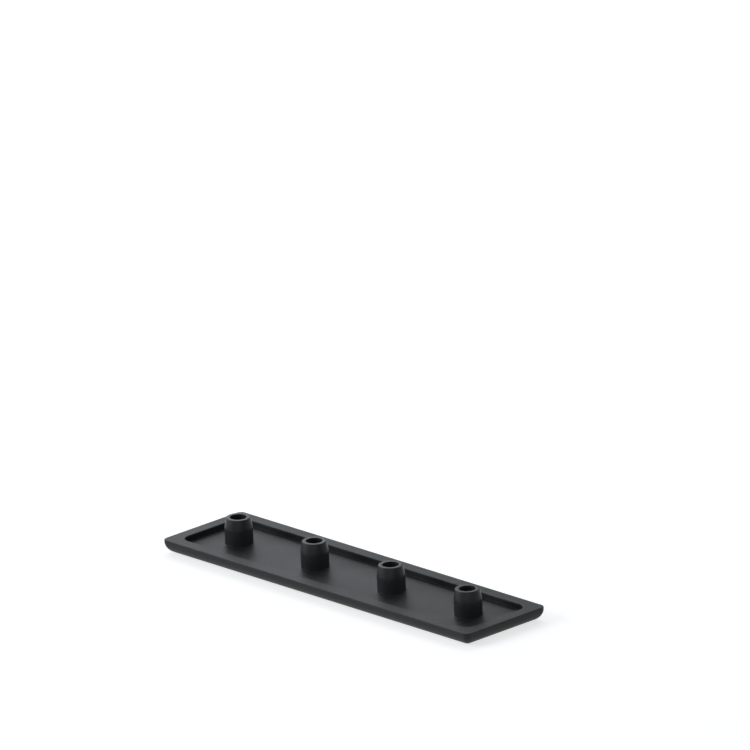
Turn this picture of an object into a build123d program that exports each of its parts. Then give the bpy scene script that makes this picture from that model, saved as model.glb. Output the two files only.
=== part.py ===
from build123d import *
import os

# A profile end cap, moulded in one piece. It lies on its outer face: the origin is the centre of
# that face, +X runs along the row of pegs and +Z along each of them. Sizes are in millimetres.

# The cap covers a row of square cells, with a peg at the middle of each
cell_pitch = 20.0
cell_count = 4

# Plate: its side stands straight below the rim, then rolls over into the outer face
floor_thickness = 1.5
recess_depth = 1.1
straight_side_height = 0.4
corner_radius = 1.2

# Rim round the recess
rim_width = 2.45
recess_corner_radius = 2.0

# Pegs: straight above the recess floor, then tapered to a flat tip, with a blind bore
peg_diameter = 5.2
peg_straight_height = 3.0
peg_lead_in_height = 1.95
peg_tip_diameter = 4.5
peg_bore_diameter = 3.0

# Small breaks of the mould: radii at the feet of walls and pegs and on the rim, a bevel on the peg tips
foot_radius = 0.2
rim_edge_radius = 0.2
tip_bevel = 0.1

# Sizes that follow
plate_length = cell_count * cell_pitch
plate_width = cell_pitch
plate_thickness = floor_thickness + recess_depth
outer_edge_radius = plate_thickness - straight_side_height
rim_edge_break = min(rim_edge_radius, straight_side_height / 2)
lead_in_base = floor_thickness + peg_straight_height
tip_height = lead_in_base + peg_lead_in_height


def plate():
    """Solid slab with soft corners, whose side rolls over into the outer face all round."""
    outline = RectangleRounded(plate_length, plate_width, corner_radius)
    slab = extrude(outline, plate_thickness)
    outer_face = slab.faces().sort_by(Axis.Z).first
    return fillet(outer_face.edges(), outer_edge_radius)


def recess():
    """Pocket that leaves the rim standing all round."""
    length = plate_length - 2 * rim_width
    width = plate_width - 2 * rim_width
    outline = RectangleRounded(length, width, recess_corner_radius)
    return Pos(0, 0, floor_thickness) * extrude(outline, recess_depth)


def peg():
    """Solid peg turned about +Z: straight from the outer face up, then a tapered lead-in."""
    outline = Polyline(
        (0, 0),
        (peg_diameter / 2, 0),
        (peg_diameter / 2, lead_in_base),
        (peg_tip_diameter / 2, tip_height),
        (0, tip_height),
        close=True,
    )
    return revolve(Plane.XZ * make_face(outline), Axis.Z)


def peg_bore():
    """Blind bore of a peg, down to the recess floor, so that the wall below it stays even."""
    return Pos(0, 0, floor_thickness) * extrude(Circle(peg_bore_diameter / 2), tip_height - floor_thickness)


def edges_at(part, height):
    """Every edge of the flat faces that lie at one height."""
    margin = 0.001
    level = part.faces().filter_by(Axis.Z).filter_by_position(Axis.Z, height - margin, height + margin)
    return level.edges()


def end_cap():
    """The whole moulding: the plate with its recess, and a hollow peg at the middle of each cell."""
    cells = GridLocations(cell_pitch, cell_pitch, cell_count, 1)
    cap = plate() - recess() + [place * peg() for place in cells]
    cap = fillet(edges_at(cap, floor_thickness), foot_radius)
    cap -= [place * peg_bore() for place in cells]
    cap = fillet(edges_at(cap, plate_thickness), rim_edge_break)
    return chamfer(edges_at(cap, tip_height), tip_bevel)


os.makedirs("parts", exist_ok=True)
export_step(end_cap(), "parts/end_cap.step")
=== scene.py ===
"""A black moulded end cap, lying pegs up on a pale floor in soft studio light.

The cap is one moulding. Its plate grows out of one rounded outline, which is extruded and drawn
in to make the side, the roll under it, the rim and the recess. Each hollow peg is one outline
spun about its own axis. Sizes are in millimetres while a shape is made, and the finished mesh is
scaled once to metres.
"""

import logging
import math
from dataclasses import dataclass
from enum import Enum
from typing import Iterable, Iterator

import bmesh
import bpy
from bmesh.types import BMEdge, BMesh, BMVert
from mathutils import Matrix, Vector


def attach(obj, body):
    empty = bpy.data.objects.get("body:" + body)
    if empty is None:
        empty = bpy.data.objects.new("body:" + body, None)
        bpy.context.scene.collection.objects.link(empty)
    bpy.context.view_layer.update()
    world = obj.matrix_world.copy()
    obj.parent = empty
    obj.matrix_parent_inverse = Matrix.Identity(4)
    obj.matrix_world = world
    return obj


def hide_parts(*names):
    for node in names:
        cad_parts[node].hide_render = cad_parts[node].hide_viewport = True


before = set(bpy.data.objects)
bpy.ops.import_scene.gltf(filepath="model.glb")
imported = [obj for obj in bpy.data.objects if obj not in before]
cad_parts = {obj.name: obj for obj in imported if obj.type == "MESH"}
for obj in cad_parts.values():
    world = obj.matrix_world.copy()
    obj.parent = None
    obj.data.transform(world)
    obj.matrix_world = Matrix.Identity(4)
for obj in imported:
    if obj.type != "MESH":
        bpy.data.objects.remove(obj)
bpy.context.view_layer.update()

log = logging.getLogger("end_cap")

MILLIMETRE = 0.001
CAP_NODE = "end_cap"
# Vertex layer that marks rounded crests, for rubbed wear and a painted highlight there
RUB_AND_HIGHLIGHT_LAYER = "edge_rub_and_highlight"
WELD = 1e-4
UP = Vector((0.0, 0.0, 1.0))
WHITE = (1.0, 1.0, 1.0, 1.0)

# Shading values that both finishes share
NOISE_ROUGHNESS = 0.55
BROAD_GRAIN_SCALE = 0.22
FINE_GRAIN_SHARE = 0.6
PATCH_SPREAD = (-0.5, 1.5)
LEAST_RUB_AND_HIGHLIGHT = 0.1
TINT_LEVELS = (0.88, 1.12)


class Surface(Enum):
    """Which surface of the mould formed a face. The value is its material index."""

    GRAINED = 0
    TURNED = 1


def ends_of(edges: Iterable[BMEdge]) -> list[BMVert]:
    """Every vertex of some edges, once each.

    Args:
        edges: The edges to read.

    Returns:
        Their vertices.
    """
    return list({vert: None for edge in edges for vert in edge.verts})


def quarters_of(verts: list[BMVert]) -> Iterator[tuple[float, float, list[BMVert]]]:
    """Splits a loop that is centred on the Z axis into its four quarters.

    Args:
        verts: Vertices of the loop.

    Yields:
        The signs of X and Y in a quarter, and its vertices.
    """
    for side_x in (-1.0, 1.0):
        for side_y in (-1.0, 1.0):
            yield side_x, side_y, [v for v in verts if v.co.x * side_x > 0.0 and v.co.y * side_y > 0.0]


def draw_in(bm: BMesh, verts: list[BMVert], inset: float, drop: float = 0.0) -> None:
    """Moves the sides of a rounded rectangle inwards and down.

    Args:
        bm: Mesh that holds the vertices.
        verts: Vertices of the rectangle.
        inset: How far each side moves towards the middle.
        drop: How far the loop moves down.
    """
    for side_x, side_y, quarter in quarters_of(verts):
        bmesh.ops.translate(bm, vec=(-side_x * inset, -side_y * inset, -drop), verts=quarter)


def reshape_corners(bm: BMesh, verts: list[BMVert], factor: float) -> None:
    """Scales the radius of each corner of a rounded rectangle, with the sides where they are.

    Args:
        bm: Mesh that holds the vertices.
        verts: Vertices of the rectangle.
        factor: The new radius as a multiple of the old one.
    """
    for side_x, side_y, quarter in quarters_of(verts):
        reach_x = max(abs(v.co.x) for v in quarter)
        reach_y = max(abs(v.co.y) for v in quarter)
        corner = Vector((side_x * reach_x, side_y * reach_y, 0.0))
        bmesh.ops.scale(bm, vec=(factor, factor, 1.0), space=Matrix.Translation(-corner), verts=quarter)


def lower(bm: BMesh, loop: list[BMEdge], depth: float) -> list[BMEdge]:
    """Grows a straight wall down from a loop.

    Args:
        bm: Mesh that holds the loop.
        loop: Open edges at the top of the wall.
        depth: Height of the wall, or 0 for a new loop that is moved later.

    Returns:
        The edges at the foot of the wall.
    """
    made = bmesh.ops.extrude_edge_only(bm, edges=loop)["geom"]
    top = set(ends_of(loop))
    foot = [item for item in made if isinstance(item, BMEdge) and not top.intersection(item.verts)]
    bmesh.ops.translate(bm, vec=-UP * depth, verts=ends_of(foot))
    return foot


@dataclass(frozen=True)
class Roll:
    """A wall's turn from upright to level, inwards, along a quarter circle.

    Attributes:
        radius: Radius of the quarter circle.
        corner_start: Radius of the outline's corners where the turn starts.
        corner_end: Radius of the outline's corners where it ends.
        steps: Rows of faces in the turn.
    """

    radius: float
    corner_start: float
    corner_end: float
    steps: int

    def grow(self, bm: BMesh, loop: list[BMEdge]) -> list[BMEdge]:
        """Grows the turn from the foot of a wall.

        Args:
            bm: Mesh that holds the wall.
            loop: Open edges at the foot of the wall.

        Returns:
            The edges where the turn ends level.
        """
        inset, drop, corner = 0.0, 0.0, self.corner_start
        for step in range(1, self.steps + 1):
            angle = math.pi / 2 * step / self.steps
            next_inset, next_drop = self.radius * (1.0 - math.cos(angle)), self.radius * math.sin(angle)
            next_corner = self.corner_start + (self.corner_end - self.corner_start) * next_inset / self.radius
            loop = lower(bm, loop, 0.0)
            draw_in(bm, ends_of(loop), next_inset - inset, next_drop - drop)
            reshape_corners(bm, ends_of(loop), next_corner / corner)
            inset, drop, corner = next_inset, next_drop, next_corner
        return loop


def soften(bm: BMesh, edges: list[BMEdge], radius: float, steps: int) -> None:
    """Rounds edges, and marks the crest of the round in the layer for rubbed wear and painted highlight.

    Args:
        bm: Mesh that holds the edges.
        edges: Edges to round.
        radius: Radius of the round.
        steps: Rows of faces in the round.
    """
    made = bmesh.ops.bevel(
        bm,
        geom=edges,
        offset=radius,
        offset_type="OFFSET",
        affect="EDGES",
        segments=steps,
        profile=0.5,
        material=-1,
        clamp_overlap=True,
    )
    rub_and_highlight = bm.verts.layers.float[RUB_AND_HIGHLIGHT_LAYER]
    rounded = set(made["faces"])
    for vert in made["verts"]:
        if all(face in rounded for face in vert.link_faces):
            # Marks the crest for rubbed wear and a painted highlight
            vert[rub_and_highlight] = 1.0


@dataclass(frozen=True)
class Plate:
    """The plate of the cap: a rolled outer edge, a flat rim and the recess inside it.

    Attributes:
        length: Size along X.
        width: Size along Y.
        thickness: Height of the rim above the outer face.
        straight_side: Height of the upright part of the side, below the rim.
        corner_radius: Radius of the plate's corners at the rim.
        face_corner_radius: Radius of its corners where the roll meets the outer face.
        rim_width: Width of the flat rim.
        recess_radius: Radius of the recess's corners.
        recess_depth: Depth of the recess below the rim.
        edge_radius: Radius of the rim's two edges.
        foot_radius: Radius where the recess wall meets its floor.
        corner_steps: Edges in each corner's arc.
        roll_steps: Rows of faces in the rolled outer edge.
        small_steps: Rows of faces in each small radius.
    """

    length: float = 80.0
    width: float = 20.0
    thickness: float = 2.6
    straight_side: float = 0.4
    corner_radius: float = 1.2
    face_corner_radius: float = 0.1
    rim_width: float = 2.45
    recess_radius: float = 2.0
    recess_depth: float = 1.1
    edge_radius: float = 0.15
    foot_radius: float = 0.08
    corner_steps: int = 10
    roll_steps: int = 14
    small_steps: int = 4

    @property
    def floor_height(self) -> float:
        """Z of the recess floor."""
        return self.thickness - self.recess_depth

    def build(self, bm: BMesh) -> list[BMEdge]:
        """Builds the plate with its recess floor still open.

        Args:
            bm: Mesh that takes the plate.

        Returns:
            The edges round the open floor.
        """
        outer = self._outline(bm)
        self._close_underside(bm, outer)
        inner = self._lay_rim(bm, outer)
        floor = self._sink_recess(bm, inner)
        soften(bm, outer + inner, self.edge_radius, self.small_steps)
        return floor

    def _outline(self, bm: BMesh) -> list[BMEdge]:
        """Draws the outer edge of the rim: a rectangle whose corners are rounded by a bevel.

        Args:
            bm: Mesh that takes the loop.

        Returns:
            The edges of the loop.
        """
        corners = bmesh.ops.create_grid(bm, x_segments=1, y_segments=1, size=0.5)["verts"]
        bmesh.ops.scale(bm, vec=(self.length, self.width, 1.0), verts=corners)
        bmesh.ops.translate(bm, vec=UP * self.thickness, verts=corners)
        bmesh.ops.bevel(
            bm,
            geom=corners,
            offset=self.corner_radius,
            offset_type="OFFSET",
            affect="VERTICES",
            segments=self.corner_steps,
            profile=0.5,
            material=-1,
        )
        bmesh.ops.delete(bm, geom=list(bm.faces), context="FACES_ONLY")
        return list(bm.edges)

    def _close_underside(self, bm: BMesh, outer: list[BMEdge]) -> None:
        """Makes the side, the roll under it and the flat outer face.

        Args:
            bm: Mesh that holds the plate.
            outer: Outer edges of the rim.
        """
        side = lower(bm, outer, self.straight_side)
        reach = self.thickness - self.straight_side
        roll = Roll(reach, self.corner_radius, self.face_corner_radius, self.roll_steps)
        bmesh.ops.edgeloop_fill(bm, edges=roll.grow(bm, side))

    def _lay_rim(self, bm: BMesh, outer: list[BMEdge]) -> list[BMEdge]:
        """Makes the flat top of the rim.

        Args:
            bm: Mesh that holds the plate.
            outer: Outer edges of the rim.

        Returns:
            The inner edges of the rim.
        """
        inner = lower(bm, outer, 0.0)
        draw_in(bm, ends_of(inner), self.rim_width)
        reshape_corners(bm, ends_of(inner), self.recess_radius / self.corner_radius)
        return inner

    def _sink_recess(self, bm: BMesh, inner: list[BMEdge]) -> list[BMEdge]:
        """Makes the wall of the recess and the radius at its foot.

        Args:
            bm: Mesh that holds the plate.
            inner: Inner edges of the rim.

        Returns:
            The edges where the floor starts.
        """
        wall_foot = lower(bm, inner, self.recess_depth - self.foot_radius)
        floor_corner = self.recess_radius - self.foot_radius
        return Roll(self.foot_radius, self.recess_radius, floor_corner, self.small_steps).grow(bm, wall_foot)


@dataclass(frozen=True)
class Corner:
    """One corner of a peg's outline.

    Attributes:
        reach: Distance from the peg's axis.
        height: Z of the corner.
        radius: Radius that rounds it, or 0 to leave it sharp.
        rub_and_highlight: How much handling rubs it, from 0 to 1, which also sets how much painted highlight
            it gets.
    """

    reach: float
    height: float
    radius: float = 0.0
    rub_and_highlight: float = 0.0


@dataclass(frozen=True)
class Peg:
    """One hollow peg: straight above its foot, then tapered to a flat ring round the bore.

    Attributes:
        diameter: Diameter of the straight part.
        straight_height: Height of the straight part above the recess floor.
        lead_in_height: Height of the taper.
        tip_diameter: Diameter across the tip, before its edge is rounded.
        bore_diameter: Diameter of the blind bore.
        foot_radius: Radius where the peg meets the floor.
        shoulder_radius: Radius where the taper starts.
        tip_radius: Radius of the tip's two edges.
        bore_foot_radius: Radius at the bottom of the bore.
        shoulder_rub_and_highlight: How much handling rubs the shoulder, from 0 to 1, which also sets its
            painted highlight.
        tip_rub_and_highlight: How much it rubs the tip's two edges, and how much painted highlight they get.
        apron: Width of floor that is made with the peg, outside its foot.
        turns: Faces round the peg.
        small_steps: Rows of faces in each small radius.
    """

    diameter: float = 5.2
    straight_height: float = 3.0
    lead_in_height: float = 1.95
    tip_diameter: float = 4.5
    bore_diameter: float = 3.0
    foot_radius: float = 0.08
    shoulder_radius: float = 0.05
    tip_radius: float = 0.1
    bore_foot_radius: float = 0.3
    shoulder_rub_and_highlight: float = 0.5
    tip_rub_and_highlight: float = 1.0
    apron: float = 0.7
    turns: int = 72
    small_steps: int = 4

    def build(self, bm: BMesh, at_x: float, floor_height: float) -> list[BMEdge]:
        """Spins the peg's outline about its axis.

        Args:
            bm: Mesh that takes the peg.
            at_x: X of the peg's axis.
            floor_height: Z of the recess floor.

        Returns:
            The open circle of edges where the peg's apron meets the rest of the floor.
        """
        outline = self._outline(bm, at_x, floor_height)
        bmesh.ops.spin(
            bm,
            geom=ends_of(outline) + outline,
            cent=(at_x, 0.0, 0.0),
            axis=UP,
            angle=math.tau,
            steps=self.turns,
            use_merge=True,
            use_duplicate=False,
        )
        near = [v for v in bm.verts if abs(v.co.x - at_x) < self.diameter]
        bmesh.ops.remove_doubles(bm, verts=near, dist=WELD)
        reach = self.diameter / 2 + self.apron
        rim = {v for v in bm.verts if v.is_boundary and abs(math.hypot(v.co.x - at_x, v.co.y) - reach) < WELD}
        return [edge for edge in bm.edges if edge.is_boundary and rim.issuperset(edge.verts)]

    def _outline(self, bm: BMesh, at_x: float, floor_height: float) -> list[BMEdge]:
        """Draws half of the peg's section as a chain of edges, with its corners rounded.

        Args:
            bm: Mesh that takes the chain.
            at_x: X of the peg's axis.
            floor_height: Z of the recess floor.

        Returns:
            The edges of the chain, from the apron to the middle of the bore.
        """
        known = set(bm.edges)
        corners = self._corners(floor_height)
        place = Vector((at_x + corners[0].reach, 0.0, corners[0].height))
        chain = bmesh.ops.create_vert(bm, co=place)["vert"]
        for corner in corners[1:]:
            grown = bmesh.ops.extrude_vert_indiv(bm, verts=[chain[-1]])["verts"][0]
            place = Vector((at_x + corner.reach, 0.0, corner.height))
            bmesh.ops.translate(bm, vec=place - grown.co, verts=[grown])
            chain.append(grown)
        for vert, corner in zip(chain, corners):
            if corner.radius > 0.0:
                self._round_off(bm, vert, corner)
        return [edge for edge in bm.edges if edge not in known]

    def _corners(self, floor_height: float) -> list[Corner]:
        """Lists the corners of half of the peg's section, from the apron to the bore's middle.

        Args:
            floor_height: Z of the recess floor.

        Returns:
            The corners in order.
        """
        wall, tip_edge, bore_wall = self.diameter / 2, self.tip_diameter / 2, self.bore_diameter / 2
        shoulder = floor_height + self.straight_height
        tip = shoulder + self.lead_in_height
        return [
            Corner(wall + self.apron, floor_height),
            Corner(wall, floor_height, self.foot_radius),
            Corner(wall, shoulder, self.shoulder_radius, self.shoulder_rub_and_highlight),
            Corner(tip_edge, tip, self.tip_radius, self.tip_rub_and_highlight),
            Corner(bore_wall, tip, self.tip_radius, self.tip_rub_and_highlight),
            Corner(bore_wall, floor_height, self.bore_foot_radius),
            Corner(0.0, floor_height),
        ]

    def _round_off(self, bm: BMesh, vert: BMVert, corner: Corner) -> None:
        """Rounds one corner of the outline.

        Args:
            bm: Mesh that holds the outline.
            vert: The corner's vertex.
            corner: The corner's radius, and how much rubbed wear and painted highlight it gets.
        """
        made = bmesh.ops.bevel(
            bm,
            geom=[vert],
            offset=corner.radius,
            offset_type="OFFSET",
            affect="VERTICES",
            segments=self.small_steps,
            profile=0.5,
            material=-1,
        )
        rub_and_highlight = bm.verts.layers.float[RUB_AND_HIGHLIGHT_LAYER]
        for crest in made["verts"][1:-1]:
            # Sets how much rubbed wear and painted highlight the crest gets
            crest[rub_and_highlight] = corner.rub_and_highlight


@dataclass(frozen=True)
class EndCap:
    """The whole moulding.

    Attributes:
        plate: Sizes of the plate.
        peg: Sizes of each peg.
        pitch: Distance between pegs.
        count: Number of pegs.
        flat_weight: How far the larger faces decide the shading at a vertex, from 1 to 100.
    """

    plate: Plate = Plate()
    peg: Peg = Peg()
    pitch: float = 20.0
    count: int = 4
    flat_weight: int = 100

    def build(self) -> bpy.types.Object:
        """Builds the cap as one closed mesh.

        Returns:
            The cap's object.
        """
        bm = bmesh.new()
        bm.verts.layers.float.new(RUB_AND_HIGHLIGHT_LAYER)
        floor = self.plate.build(bm)
        for at_x in self._peg_places():
            floor += self.peg.build(bm, at_x, self.plate.floor_height)
        bmesh.ops.triangle_fill(bm, edges=floor, use_beauty=True, use_dissolve=False, normal=UP)
        bmesh.ops.remove_doubles(bm, verts=bm.verts, dist=WELD)
        bmesh.ops.recalc_face_normals(bm, faces=bm.faces)
        for face in bm.faces:
            face.smooth = True
            face.material_index = self._surface_at(face.calc_center_median()).value
        bmesh.ops.scale(bm, vec=Vector.Fill(3, MILLIMETRE), verts=bm.verts)
        mesh = bpy.data.meshes.new("cap_moulding")
        bm.to_mesh(mesh)
        bm.free()
        return self._stand(mesh)

    def _stand(self, mesh: bpy.types.Mesh) -> bpy.types.Object:
        """Puts the finished mesh in the scene, with shading that keeps its flat faces flat.

        Args:
            mesh: The cap's mesh.

        Returns:
            The cap's object.
        """
        cap = bpy.data.objects.new("cap_moulding", mesh)
        bpy.context.scene.collection.objects.link(cap)
        weigh = cap.modifiers.new("flat_faces_first", "WEIGHTED_NORMAL")
        weigh.mode = "FACE_AREA"
        weigh.weight = self.flat_weight
        return cap

    def _peg_places(self) -> list[float]:
        """X of each peg's axis."""
        return [self.pitch * (number - (self.count - 1) / 2) for number in range(self.count)]

    def _surface_at(self, point: Vector) -> Surface:
        """Tells which surface of the mould formed the face at a point.

        Args:
            point: Middle of the face.

        Returns:
            The pegs' turned surface, or the grained one of the plate.
        """
        floor_height = self.plate.floor_height
        reach = min(math.hypot(point.x - at_x, point.y) for at_x in self._peg_places())
        outside = reach < self.peg.diameter / 2 and point.z > floor_height + self.peg.foot_radius
        in_bore = reach < self.peg.bore_diameter / 2 and point.z > floor_height - WELD
        return Surface.TURNED if outside or in_bore else Surface.GRAINED


@dataclass(frozen=True)
class NodeSheet:
    """Adds and joins the nodes of one shader tree.

    Attributes:
        tree: The node tree to fill.
    """

    tree: bpy.types.NodeTree

    def feed(self, socket: bpy.types.NodeSocket, value: object) -> None:
        """Joins an input to the socket it is given, or sets it to a plain value.

        Args:
            socket: The input.
            value: A socket or a plain value.
        """
        if isinstance(value, bpy.types.NodeSocket):
            self.tree.links.new(value, socket)
        else:
            socket.default_value = value

    def add(self, kind: str, inputs: dict[str, object] | None = None, **settings: object) -> bpy.types.Node:
        """Adds a node.

        Args:
            kind: The node's Blender type name.
            inputs: What each input is fed, by name.
            settings: Values of its own properties.

        Returns:
            The node.
        """
        node = self.tree.nodes.new(kind)
        for name, value in settings.items():
            setattr(node, name, value)
        for name, value in (inputs or {}).items():
            self.feed(node.inputs[name], value)
        return node

    def math(self, operation: str, first: object, second: object) -> bpy.types.NodeSocket:
        """Works out one value from two.

        Args:
            operation: Name of the operation, such as MULTIPLY.
            first: A socket or a number.
            second: A socket or a number.

        Returns:
            The socket with the result.
        """
        node = self.add("ShaderNodeMath", operation=operation)
        self.feed(node.inputs[0], first)
        self.feed(node.inputs[1], second)
        return node.outputs[0]

    def spread(self, mask: bpy.types.NodeSocket, low: float, high: float) -> bpy.types.NodeSocket:
        """Maps a mask from 0 to 1 onto a range.

        Args:
            mask: The mask.
            low: What 0 becomes.
            high: What 1 becomes.

        Returns:
            The socket with the mapped value.
        """
        sockets = {"Value": mask, "To Min": low, "To Max": high}
        return self.add("ShaderNodeMapRange", sockets).outputs["Result"]

    def blend(self, mask: bpy.types.NodeSocket, first: object, second: object) -> bpy.types.NodeSocket:
        """Blends two colours by a mask.

        Args:
            mask: The mask.
            first: A socket or a colour, for 0.
            second: A socket or a colour, for 1.

        Returns:
            The socket with the colour.
        """
        node = self.add("ShaderNodeMix", {"Factor": mask}, data_type="RGBA")
        ends = [socket for socket in node.inputs if socket.type == "RGBA"]
        self.feed(ends[0], first)
        self.feed(ends[1], second)
        return next(socket for socket in node.outputs if socket.type == "RGBA")

    def noise(self, place: bpy.types.NodeSocket, scale: object, detail: float) -> bpy.types.NodeSocket:
        """Adds a noise from 0 to 1.

        Args:
            place: Where it is read.
            scale: Features per metre.
            detail: How many finer layers it has.

        Returns:
            The socket with the noise.
        """
        sockets = {"Vector": place, "Scale": scale, "Detail": detail, "Roughness": NOISE_ROUGHNESS}
        return self.add("ShaderNodeTexNoise", sockets).outputs["Fac"]


def new_group(
    name: str, inputs: dict[str, float], output: str
) -> tuple[NodeSheet, bpy.types.Node, bpy.types.Node]:
    """Starts a shader node group whose sockets are all plain numbers.

    Args:
        name: Name of the group.
        inputs: Default of each input by name.
        output: Name of its output.

    Returns:
        The group's sheet, its input node and its output node.
    """
    tree = bpy.data.node_groups.new(name, "ShaderNodeTree")
    for label, default in inputs.items():
        socket = tree.interface.new_socket(label, in_out="INPUT", socket_type="NodeSocketFloat")
        socket.default_value = default
    tree.interface.new_socket(output, in_out="OUTPUT", socket_type="NodeSocketFloat")
    return NodeSheet(tree), tree.nodes.new("NodeGroupInput"), tree.nodes.new("NodeGroupOutput")


def mould_grain() -> bpy.types.NodeTree:
    """The texture that the mould's surface leaves: fine grain on broader waves.

    Returns:
        A group with a Grain input, in features per metre upwards, an Across input, which is the same
        sideways as a share of Grain, and a Height output from 0 to 1.
    """
    sheet, given, out = new_group("mould_grain", {"Grain": 9000.0, "Across": 1.0}, "Height")
    grain, across = given.outputs["Grain"], given.outputs["Across"]
    shape = sheet.add("ShaderNodeCombineXYZ", {"X": across, "Y": across, "Z": 1.0})
    drawn = sheet.add("ShaderNodeVectorMath", operation="MULTIPLY")
    sheet.feed(drawn.inputs[0], sheet.add("ShaderNodeTexCoord").outputs["Object"])
    sheet.feed(drawn.inputs[1], shape.outputs["Vector"])
    place = drawn.outputs["Vector"]
    fine = sheet.noise(place, grain, detail=2.0)
    broad = sheet.noise(place, sheet.math("MULTIPLY", grain, BROAD_GRAIN_SCALE), detail=1.0)
    fine_part = sheet.math("MULTIPLY", fine, FINE_GRAIN_SHARE)
    broad_part = sheet.math("MULTIPLY", broad, 1.0 - FINE_GRAIN_SHARE)
    sheet.feed(out.inputs["Height"], sheet.math("ADD", fine_part, broad_part))
    return sheet.tree


def gloss_patches() -> bpy.types.NodeTree:
    """Broad, faint patches where the plastic filled the mould a little sooner or later.

    Returns:
        A group with a Size input, in patches per metre, and a Patch output from 0 to 1.
    """
    sheet, given, out = new_group("gloss_patches", {"Size": 140.0}, "Patch")
    place = sheet.add("ShaderNodeTexCoord").outputs["Object"]
    cloud = sheet.noise(place, given.outputs["Size"], detail=4.0)
    sheet.feed(out.inputs["Patch"], sheet.spread(cloud, *PATCH_SPREAD))
    return sheet.tree


def edge_rub_and_highlight() -> bpy.types.NodeTree:
    """Where handling has polished the crests of the rounded edges, and where their colour is lightened as a
    painted highlight.

    Returns:
        A group with a Breaks input, in features per metre, and a Mask output from 0 to 1.
    """
    sheet, given, out = new_group("edge_rub_and_highlight", {"Breaks": 900.0}, "Mask")
    layer = sheet.add("ShaderNodeAttribute", attribute_name=RUB_AND_HIGHLIGHT_LAYER, attribute_type="GEOMETRY")
    place = sheet.add("ShaderNodeTexCoord").outputs["Object"]
    breaks = sheet.noise(place, given.outputs["Breaks"], detail=3.0)
    broken = sheet.spread(breaks, LEAST_RUB_AND_HIGHLIGHT, 1.0)
    sheet.feed(out.inputs["Mask"], sheet.math("MULTIPLY", layer.outputs["Fac"], broken))
    return sheet.tree


@dataclass(frozen=True)
class Effects:
    """The node groups that the finishes share.

    Attributes:
        grain: The mould_grain group.
        patches: The gloss_patches group.
        rub_and_highlight: The edge_rub_and_highlight group.
    """

    grain: bpy.types.NodeTree
    patches: bpy.types.NodeTree
    rub_and_highlight: bpy.types.NodeTree


@dataclass(frozen=True)
class MouldedPlastic:
    """A matt black moulded plastic.

    Attributes:
        name: Name of the material.
        colour: Its colour, linear.
        rub_and_highlight_colour: Its colour on rubbed edges, linear, lighter partly from wear and partly as a
            painted highlight.
        roughness: Lowest and highest roughness over the patches.
        rub_gloss: How much smoother the rubbed edges are.
        specular: Level of the mirror reflection, where 0.5 is that of glass.
        grain: Grain features per metre.
        across: The same across the Z axis, as a share of it. Below 1, the grain is drawn out into rings.
        relief: Height of the grain, in metres.
    """

    name: str
    colour: tuple[float, float, float]
    rub_and_highlight_colour: tuple[float, float, float]
    roughness: tuple[float, float]
    rub_gloss: float
    specular: float
    grain: float
    across: float
    relief: float

    def material(self, effects: Effects) -> bpy.types.Material:
        """Makes the material.

        Args:
            effects: The shared node groups.

        Returns:
            The material.
        """
        material = bpy.data.materials.new(self.name)
        material.use_nodes = True
        material.node_tree.nodes.clear()
        sheet = NodeSheet(material.node_tree)
        grain = sheet.add("ShaderNodeGroup", node_tree=effects.grain)
        grain.inputs["Grain"].default_value = self.grain
        grain.inputs["Across"].default_value = self.across
        patch = sheet.add("ShaderNodeGroup", node_tree=effects.patches).outputs["Patch"]
        mask = sheet.add("ShaderNodeGroup", node_tree=effects.rub_and_highlight).outputs["Mask"]
        tint = sheet.blend(patch, *(self._shade(level) for level in TINT_LEVELS))
        shine = sheet.math("MULTIPLY", mask, self.rub_gloss)
        bump = sheet.add("ShaderNodeBump", {"Height": grain.outputs["Height"], "Distance": self.relief})
        sockets = {
            # Rubbed crests take a lighter colour: partly wear, partly a painted highlight along them
            "Base Color": sheet.blend(mask, tint, (*self.rub_and_highlight_colour, 1.0)),
            "Roughness": sheet.math("SUBTRACT", sheet.spread(patch, *self.roughness), shine),
            "Normal": bump.outputs["Normal"],
            "Specular IOR Level": self.specular,
        }
        shader = sheet.add("ShaderNodeBsdfPrincipled", sockets)
        sheet.add("ShaderNodeOutputMaterial", {"Surface": shader.outputs["BSDF"]})
        return material

    def _shade(self, level: float) -> tuple[float, float, float, float]:
        """The colour at some level of brightness."""
        return (*(level * channel for channel in self.colour), 1.0)


GRAINED_PLASTIC = MouldedPlastic(
    name="black_plastic_grained",
    colour=(0.0195, 0.020, 0.0205),
    # Lighter crest colour: rubbed wear and a painted highlight
    rub_and_highlight_colour=(0.034, 0.035, 0.036),
    roughness=(0.46, 0.52),
    rub_gloss=0.10,
    specular=0.2,
    grain=9500.0,
    across=1.0,
    relief=0.000022,
)
TURNED_PLASTIC = MouldedPlastic(
    name="black_plastic_turned",
    colour=(0.0235, 0.024, 0.0245),
    # Lighter crest colour: rubbed wear and a painted highlight
    rub_and_highlight_colour=(0.037, 0.038, 0.039),
    roughness=(0.38, 0.42),
    rub_gloss=0.06,
    specular=0.2,
    grain=11000.0,
    across=0.12,
    relief=0.000014,
)


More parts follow.
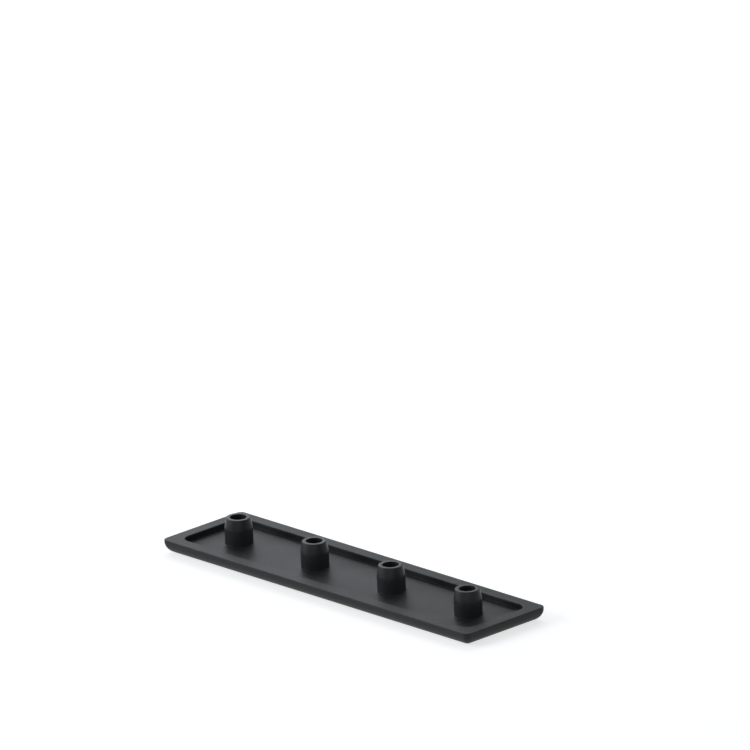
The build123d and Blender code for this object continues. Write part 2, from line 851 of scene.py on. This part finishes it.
@dataclass(frozen=True)
class SoftLamp:
    """A soft rectangular studio lamp.

    Attributes:
        name: Name of the lamp.
        place: Where it hangs, in metres.
        size: Its width and height, in metres.
        power: Its power, in watts.
        target: What it points at, in metres.
    """

    name: str
    place: tuple[float, float, float]
    size: tuple[float, float]
    power: float
    target: tuple[float, float, float] = (0.0, 0.0, 0.0)

    def hang(self, colour: tuple[float, float, float]) -> None:
        """Adds the lamp to the scene.

        Args:
            colour: Colour of its light.
        """
        light = bpy.data.lights.new(self.name, "AREA")
        light.color = colour
        light.shape = "RECTANGLE"
        light.size, light.size_y = self.size
        light.energy = self.power
        lamp = bpy.data.objects.new(self.name, light)
        lamp.location = self.place
        lamp.rotation_euler = (Vector(self.target) - Vector(self.place)).to_track_quat("-Z", "Y").to_euler()
        lamp.visible_camera = False
        bpy.context.scene.collection.objects.link(lamp)


@dataclass(frozen=True)
class Studio:
    """A white paper floor in a soft surround, with soft lamps round the cap.

    Attributes:
        floor_size: Side of the square floor, in metres.
        floor_cells: Faces along each side of the floor.
        floor_gap: How far the floor lies below the object, in metres.
        paper: How much light the floor gives back to the object.
        seen_glow: Light that the seen floor has of its own, so that its shadows stay pale.
        seen_paper: How much of the light on it the seen floor adds to that.
        surround: Strength of the even light from all round.
        light_colour: Colour of all the light.
        lamps: The lamps.
    """

    floor_size: float = 8.0
    floor_cells: int = 8
    floor_gap: float = 0.00002
    paper: float = 0.8
    seen_glow: float = 0.68
    seen_paper: float = 0.5
    surround: float = 0.20
    light_colour: tuple[float, float, float] = (0.955, 1.0, 1.045)
    lamps: tuple[SoftLamp, ...] = (
        SoftLamp("near_panel", (-0.26, 0.14, 0.11), (0.20, 0.16), 0.164, target=(-0.02, 0.0, 0.0)),
        SoftLamp("back_panel", (-0.66, 0.62, 1.0), (1.4, 0.8), 6.7),
        SoftLamp("left_panel", (-0.9, -0.96, 0.6), (1.2, 0.8), 11.5),
        SoftLamp("right_panel", (0.9, 0.96, 0.6), (1.2, 0.8), 1.8),
        SoftLamp("front_panel", (0.95, -0.9, 0.4), (1.2, 0.6), 1.6),
    )

    def build(self) -> None:
        """Builds the floor, the surround and the lamps."""
        bpy.context.scene.view_settings.view_transform = "Standard"
        self._lay_floor()
        self._surround()
        for lamp in self.lamps:
            lamp.hang(self.light_colour)

    def _lay_floor(self) -> None:
        """Lays the floor, which is no part of the object."""
        bm = bmesh.new()
        cells = self.floor_cells
        bmesh.ops.create_grid(bm, x_segments=cells, y_segments=cells, size=self.floor_size / 2)
        bmesh.ops.translate(bm, vec=-UP * self.floor_gap, verts=bm.verts)
        mesh = bpy.data.meshes.new("studio_floor")
        bm.to_mesh(mesh)
        bm.free()
        mesh.materials.append(self._floor_paper())
        floor = bpy.data.objects.new("studio_floor", mesh)
        bpy.context.scene.collection.objects.link(floor)

    def _floor_paper(self) -> bpy.types.Material:
        """Makes paper that lights the object as plain paper does, and is seen as clean white.

        Returns:
            The material.
        """
        material = bpy.data.materials.new("studio_paper")
        material.use_nodes = True
        material.node_tree.nodes.clear()
        sheet = NodeSheet(material.node_tree)
        path = sheet.add("ShaderNodeLightPath").outputs
        seen = sheet.math("MAXIMUM", path["Is Camera Ray"], path["Is Glossy Ray"])
        seen = sheet.math("MAXIMUM", seen, path["Is Transmission Ray"])
        plain = sheet.add("ShaderNodeBsdfDiffuse", {"Color": (*[self.paper] * 3, 1.0)})
        shaded = sheet.add("ShaderNodeBsdfDiffuse", {"Color": (*[self.seen_paper] * 3, 1.0)})
        glow = sheet.add("ShaderNodeEmission", {"Color": WHITE, "Strength": self.seen_glow})
        clean = sheet.add("ShaderNodeAddShader")
        sheet.feed(clean.inputs[0], shaded.outputs[0])
        sheet.feed(clean.inputs[1], glow.outputs[0])
        pick = sheet.add("ShaderNodeMixShader", {"Fac": seen})
        sheet.feed(pick.inputs[1], plain.outputs[0])
        sheet.feed(pick.inputs[2], clean.outputs[0])
        sheet.add("ShaderNodeOutputMaterial", {"Surface": pick.outputs[0]})
        return material

    def _surround(self) -> None:
        """Makes the even light from all round."""
        world = bpy.data.worlds.new("studio_surround")
        bpy.context.scene.world = world
        world.use_nodes = True
        world.node_tree.nodes.clear()
        sheet = NodeSheet(world.node_tree)
        sockets = {"Color": (*self.light_colour, 1.0), "Strength": self.surround}
        back = sheet.add("ShaderNodeBackground", sockets)
        sheet.add("ShaderNodeOutputWorld", {"Surface": back.outputs[0]})


@dataclass(frozen=True)
class PhotoCamera:
    """The camera, as measured on the photograph's edges.

    Attributes:
        azimuth: Turn about Z in degrees, where 0 looks along +Y.
        elevation: Height above the horizon, in degrees.
        roll: Turn of the picture about the view's own axis, in degrees.
        focal_px: Focal length in pixels.
        frame_px: Width of the picture, in pixels.
        scale_px: Pixels to a millimetre at the middle of the rim.
        middle_px: Where the middle of the rim lies in the picture, in pixels from its top left corner.
        middle: The middle of the rim, in millimetres.
        sensor: Width of the sensor, in millimetres.
        clip: The nearest and the farthest distance that it sees, in metres.
    """

    azimuth: float = 46.86
    elevation: float = 19.16
    roll: float = -2.345
    focal_px: float = 27533.0
    frame_px: float = 750.0
    scale_px: float = 5.514
    middle_px: tuple[float, float] = (353.16, 572.42)
    middle: tuple[float, float, float] = (0.0, 0.0, 2.6)
    sensor: float = 36.0
    clip: tuple[float, float] = (0.1, 50.0)

    def build(self) -> None:
        """Adds the camera and makes it the scene's own."""
        turn, rise, roll = (math.radians(x) for x in (self.azimuth, self.elevation, self.roll))
        right = Vector((math.cos(turn), math.sin(turn), 0.0))
        back = Vector((math.sin(turn) * math.cos(rise), -math.cos(turn) * math.cos(rise), math.sin(rise)))
        up = back.cross(right)
        across = right * math.cos(roll) + up * math.sin(roll)
        upward = up * math.cos(roll) - right * math.sin(roll)
        aside = (self.frame_px / 2 - self.middle_px[0]) / self.scale_px
        above = (self.middle_px[1] - self.frame_px / 2) / self.scale_px
        place = Vector(self.middle) + across * aside + upward * above + back * (self.focal_px / self.scale_px)
        data = bpy.data.cameras.new("photo_camera")
        data.sensor_width = self.sensor
        data.lens = self.focal_px * self.sensor / self.frame_px
        data.clip_start, data.clip_end = self.clip
        camera = bpy.data.objects.new("photo_camera", data)
        axes = Matrix((across, upward, back)).transposed().to_4x4()
        camera.matrix_world = Matrix.Translation(place * MILLIMETRE) @ axes
        bpy.context.scene.collection.objects.link(camera)
        bpy.context.scene.camera = camera


def main() -> None:
    """Builds the cap and its finishes, then the studio and the camera."""
    logging.basicConfig(level=logging.INFO, format="%(message)s")
    effects = Effects(mould_grain(), gloss_patches(), edge_rub_and_highlight())
    cap = EndCap().build()
    for finish in (GRAINED_PLASTIC, TURNED_PLASTIC):
        cap.data.materials.append(finish.material(effects))
    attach(cap, "root")
    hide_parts(CAP_NODE)
    log.info("%s: %d faces", cap.name, len(cap.data.polygons))
    Studio().build()
    PhotoCamera().build()


if __name__ == "__main__":
    main()
